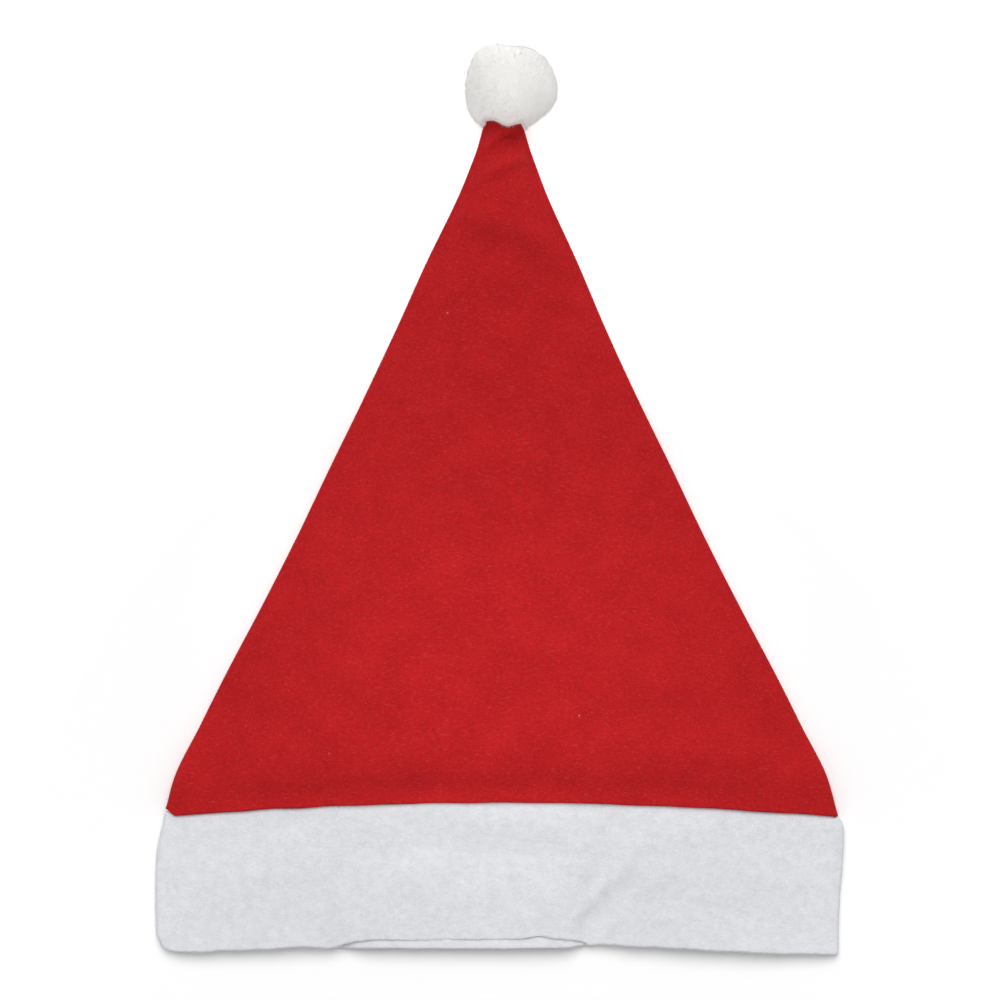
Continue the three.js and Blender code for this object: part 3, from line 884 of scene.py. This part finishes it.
def headings(turn, rise):
    return np.stack([np.cos(rise) * np.cos(turn), np.cos(rise) * np.sin(turn), np.sin(rise)], -1)


# Headings spread evenly over a sphere, along a golden spiral from its top to its foot.
def spiral(count):
    i = np.arange(count)
    return headings(i * np.pi * (3 - math.sqrt(5)), np.arcsin(1 - (2 * i + 1) / count))


# The outside of the ball along a heading: half its sizes times one plus the lumps, less a depth.
def ballPoint(heading, depth):
    reach = 1.0
    for turn, rise, swell, spread in pompom["lumps"]:
        peak = headings(math.radians(turn), math.radians(rise))
        angle = np.degrees(np.arccos(np.clip(heading @ peak, -1, 1)))
        reach = reach + 2 * swell * np.exp(-((angle / spread) ** 2))
    half = np.array([pompom["wide"], pompom["long"], pompom["tall"] + pompom["flat"]]) / 2
    return heading * (half * np.asarray(reach)[..., None] - np.asarray(depth)[..., None])


# The ball's middle, from the box of its solid.
def ballMiddle():
    x = cone["tipLean"] + pompom["shift"]
    return np.array([x, ballHigh[1] - seamY - pompom["long"] / 2, (pompom["tall"] - pompom["flat"]) / 2])


# How far soft tufts raise the yarn ends along each heading: a sum of plane waves through the ball.
def tuftRise(heading):
    rng = np.random.default_rng(pompom["seed"])
    sizes = pompom["tuftSize"] * rng.uniform(*pompom["tuftSpread"], pompom["tuftWaves"])
    total = 0.0
    for size in sizes:
        wave = rng.normal(0, 1, 3)
        wave = wave / np.linalg.norm(wave) * 2 * np.pi / size
        total = total + np.sin(heading @ wave * pompom["wide"] / 2 + rng.uniform(0, 2 * np.pi))
    rise = pompom["tuftRise"] + pompom["rimRise"] * (1 - heading[:, 2] ** 2) ** 6
    return rise * total / np.sqrt(len(sizes) / 2)


# Whether a point seen from above is in the slot for the tip: one inside it, falling to zero round it.
def notchShare(x, y):
    edge = coneLength + tipEdge(x)
    wide = pompom["notchWide"] + pompom["notchSpread"] * np.maximum(edge - y, 0)
    inner, outer = pompom["notchEase"]
    sideways = 1 - smoothStep(wide - inner, wide + outer, np.abs(x - cone["tipLean"]))
    return sideways * (1 - smoothStep(edge - inner, edge + outer, y))


def makePompomCore(material):
    rows, columns = pompom["coreRows"], pompom["coreColumns"]
    rise = np.linspace(-np.pi / 2, np.pi / 2, rows + 2)[1:-1][:, None]
    turn = np.linspace(0, 2 * np.pi, columns, endpoint=False)[None, :]
    heading = headings(*np.broadcast_arrays(turn, rise)).reshape(-1, 3)
    points = ballPoint(heading, pompom["coreDepth"]) + ballMiddle()
    points[:, 2] = np.maximum(points[:, 2], pompom["coreLowest"])
    inNotch = notchShare(points[:, 0], points[:, 1]) * (points[:, 2] > pompom["notchFloor"])
    points[:, 2] = between(points[:, 2], pompom["notchFloor"], inNotch)
    rings = intoFrame(points[:, 0], points[:, 1], points[:, 2]).reshape(rows, columns, 3)
    return finishPiece(ringMesh("pompomHeart", rings, False), None, material)


# Strands along the slot for the tip, from the yarn round it out over its edge: up one side, along the end and down
# the other. They start at any height between the tip and the outside of the ball.
def edgeStrands(rng):
    count, wide, splay = slotEdge["strands"], pompom["notchWide"], slotEdge["splay"]
    side = rng.uniform(-slotEdge["reach"], slotEdge["reach"], count)
    end, outwards = np.abs(side) < 1, np.sign(side)
    past = np.maximum(np.abs(side) - 1, 0) * wide
    beside = outwards * np.minimum(past * slotEdge["besideGrow"], slotEdge["beside"])
    along = cone["tipLean"] + np.clip(side, -1, 1) * wide
    x = along + outwards * past * pompom["notchSpread"] + beside
    y = coneLength + tipEdge(along) - past
    away = np.stack([np.where(end, 0, splay * outwards), np.ones(count), np.zeros(count)], -1)
    away = away + rng.normal(0, splay, (count, 3))
    middle = ballMiddle()
    share = ((x - middle[0]) / pompom["wide"]) ** 2 + ((y - middle[1]) / pompom["long"]) ** 2
    top = middle[2] + pompom["tall"] / 2 * np.sqrt(np.maximum(1 - 4 * share, 0.01)) - slotEdge["inset"]
    endLow, endHigh = slotEdge["endHeights"]
    sideLow, sideHigh = slotEdge["sideHeights"]
    low, high = np.where(end, endLow, sideLow), np.where(end, np.maximum(top, endHigh), sideHigh)
    start = np.stack([x, y, between(low, high, rng.uniform(0, 1, count))], -1)
    reach = (rng.uniform(*slotEdge["lean"], count) * np.where(end, 1, slotEdge["sideLean"]))[:, None]
    return start + away * slotEdge["root"], start + away * slotEdge["knee"], start - away * reach


# Strands all over the ball, each from its root in the core to a leaning tip. Those over the slot are left out.
def makePompomYarn(material):
    rng = np.random.default_rng(pompom["seed"] + 1)
    count = pompom["strands"]
    heading = spiral(count) + rng.normal(0, pompom["scatter"], (count, 3))
    heading = heading / np.linalg.norm(heading, axis=1, keepdims=True)
    depth = pompom["uneven"] * np.abs(rng.normal(0, 1, count))
    depth = depth - pompom["longest"] * rng.uniform(0, 1, count) ** pompom["longFew"]
    root = ballPoint(heading, pompom["rootDepth"])
    tip = ballPoint(heading, depth - tuftRise(heading))
    lean = rng.normal(0, pompom["lean"] / 2, (count, 3))
    knee = between(root, tip, pompom["kneeAt"]) + lean * pompom["kneeLean"]
    tip = tip + (lean - np.sum(lean * heading, 1, keepdims=True) * heading)
    root, knee, tip = (part + ballMiddle() for part in (root, knee, tip))
    for part in (root, knee, tip):
        part[:, 2] = np.maximum(part[:, 2], pompom["lowest"])
    kept = (notchShare(tip[:, 0], tip[:, 1]) < 0.5) | (tip[:, 2] < pompom["underTip"])
    parts = [np.concatenate([part[kept], more]) for part, more in zip((root, knee, tip), edgeStrands(rng))]
    root, knee, tip = (intoFrame(*part.T) for part in parts)
    thickness = pompom["thickness"] / 1000 * rng.uniform(*pompom["thicknessSpread"], len(root))
    piece = strandMesh("pompomYarn", root, knee, tip, thickness)
    return finishPiece(piece, "pompom", material)


whiteYarn = whiteYarnMaterial()
makePompomCore(whiteYarn)
pompomYarn = makePompomYarn(whiteYarn)
print("pompom:", len(pompomYarn.data.polygons), "faces")

# Loose fibres, lying on the felt and standing out along its folds and its mouth. Lengths in mm. Rows are shares of the
# cone's length, and on the band the distance below the seam. Each row of edges holds a count, the part of the mouth
# that the fibres stand on, and whether that's its front.
redFuzz = {
    "colour": "#C83C3E",
    "rows": (0.004, 0.985),
    "lying": 4500,
    "standing": 1300,
    "length": (1.2, 5.0),
    "rise": 0.45,
    "reach": (0.15, 0.8),
    "thickness": 0.04,
    "edges": ((1400, (-0.98, 0.98), True),),
    "edgeReach": (0.15, 0.6),
    "seed": 41,
}
whiteFuzz = {
    "colour": "#E6E7EA",
    "rows": (1.6, band["height"] - 0.5),
    "lying": 4200,
    "standing": 1700,
    "length": (1.0, 4.0),
    "rise": 0.4,
    "reach": (0.2, 0.9),
    "thickness": 0.045,
    "edges": (
        (3200, (-0.98, 0.98), True), (1400, (-0.5, 0.28), False),
        (60, (0.547, 0.555), True), (45, (0.625, 0.631), True), (45, (0.663, 0.669), True),
    ),
    "edgeReach": (0.2, 0.9),
    "seed": 51,
}
# What both have in common.
fuzz = {
    "across": 0.985,        # how near to the sides they lie
    "shortest": 0.5,        # the least share of their length that is left
    "bend": 0.35,
    "above": 0.02,          # over the felt
    "tipRise": 1.4,         # how high the end lies, as a share of the middle's height
    "turns": (0.12, 0.88),  # where round a fold they stand, as shares of its half circle
    "standShortest": 0.4,
    "standSplay": 0.8,
    "standScatter": 0.3,
    "kneeAt": 0.6,
    "edgeTurn": 0.45,       # how far round the edge of a wall they stand
    "edgeSplay": 0.7,
    "edgeScatter": 0.15,
    "lowest": 0.05,         # over the table
}


# The steps round a section for places on the front panel, on the back and on a fold.
def onFront(across):
    ones, level = np.ones_like(across), np.zeros_like(across)
    return {"across": across, "side": level, "high": ones, "front": ones, "arched": ones}


def onBack(across):
    level = np.zeros_like(across)
    return {"across": across, "side": level, "high": level, "front": level, "arched": level}


def onFold(side, turn):
    return {
        "across": side, "side": side * np.sin(turn), "high": (1 - np.cos(turn)) / 2,
        "front": turn / np.pi, "arched": np.zeros_like(turn),
    }


# The roots, knees and ends of fibres that stand out along the rounded edge of a wall at the mouth.
def edgeFibres(rng, surface, edgeRow, rowLength, wall, look):
    roots, headings = [], []
    for count, ends, front in look["edges"]:
        turn = rng.uniform(0, fuzz["edgeTurn"], count) * np.pi * (1 if front else -1)
        across = rng.uniform(*ends, count)
        row = edgeRow + wall / 2 * (1 - np.cos(turn)) / rowLength
        x, y, z = surface(row, wall / 2 * (1 - np.sin(turn)), onFront(across) if front else onBack(across))
        roots.append(np.stack([x, y, z], -1))
        splay = rng.normal(0, fuzz["edgeSplay"], count)
        headings.append(np.stack([splay, -np.cos(turn), np.abs(np.sin(turn))], -1))
    root, heading = np.concatenate(roots), np.concatenate(headings)
    reach = rng.uniform(*look["edgeReach"], len(root))[:, None]
    knee = root + heading * reach * fuzz["kneeAt"]
    return root, knee, root + heading * reach + rng.normal(0, fuzz["edgeScatter"], root.shape)


# Fibres on a surface that takes a row, a depth and the steps round a section. edgeRow is the row of the mouth, and
# rowLength turns millimetres along Y into rows.
def makeFibres(name, surface, edgeRow, rowLength, halfWidth, wall, look, material):
    rng = np.random.default_rng(look["seed"])
    count = look["lying"]
    length = rng.uniform(*look["length"], count) * rng.uniform(fuzz["shortest"], 1, count)
    turn = rng.uniform(0, 2 * np.pi, count)
    row = rng.uniform(*look["rows"], count)
    across = rng.uniform(-fuzz["across"], fuzz["across"], count)
    bend = rng.normal(0, fuzz["bend"], count)
    rise = look["rise"] * rng.uniform(0, 1, count) ** 2

    def laid(share, height):
        heading = turn + bend * share
        dx = np.cos(heading) * length * share
        dy = np.sin(heading) * length * share
        x, y, z = surface(row + dy / rowLength, 0.0, onFront(np.clip(across + dx / halfWidth, -1, 1)))
        return np.stack([x, y, z + fuzz["above"] + height], -1)

    lying = laid(0, 0), laid(0.5, rise), laid(1, rise * fuzz["tipRise"])
    count = look["standing"]
    side = np.where(rng.uniform(0, 1, count) < 0.5, -1.0, 1.0)
    row = rng.uniform(*look["rows"], count)
    turn = rng.uniform(*fuzz["turns"], count) * np.pi
    root = np.stack(surface(row, 0.0, onFold(side, turn)), -1)
    outwards = np.stack([side * np.sin(turn), rng.normal(0, fuzz["standSplay"], count), -np.cos(turn)], -1)
    reach = rng.uniform(*look["reach"], count)[:, None] * rng.uniform(fuzz["standShortest"], 1, count)[:, None]
    knee = root + outwards * reach * fuzz["kneeAt"]
    tip = root + outwards * reach + rng.normal(0, fuzz["standScatter"], (count, 3))
    edge = edgeFibres(rng, surface, edgeRow, rowLength, wall, look)
    parts = [np.concatenate(three) for three in zip(lying, (root, knee, tip), edge)]
    for part in parts:
        part[:, 2] = np.maximum(part[:, 2], fuzz["lowest"])
    root, knee, tip = (intoFrame(*part.T) for part in parts)
    piece = strandMesh(name, root, knee, tip, np.full(len(root), look["thickness"] / 1000))
    return finishPiece(piece, None, material)


redFibre = fibreMaterial("red_polyester_fibre", redFuzz["colour"])
whiteFibre = fibreMaterial("white_polyester_fibre", whiteFuzz["colour"])
usualHalf = coneHalf * 0.7      # of the cone, where most of its fibres lie
redFibres = makeFibres(
    "redFibres", coneSurface, 0.0, coneLength, usualHalf, felt["coneWall"], redFuzz, redFibre)
whiteFibres = makeFibres(
    "whiteFibres", bandSurface, band["height"], -1.0, band["half"], felt["bandWall"], whiteFuzz,
    whiteFibre)
print("loose fibres:", len(redFibres.data.polygons) + len(whiteFibres.data.polygons), "faces")
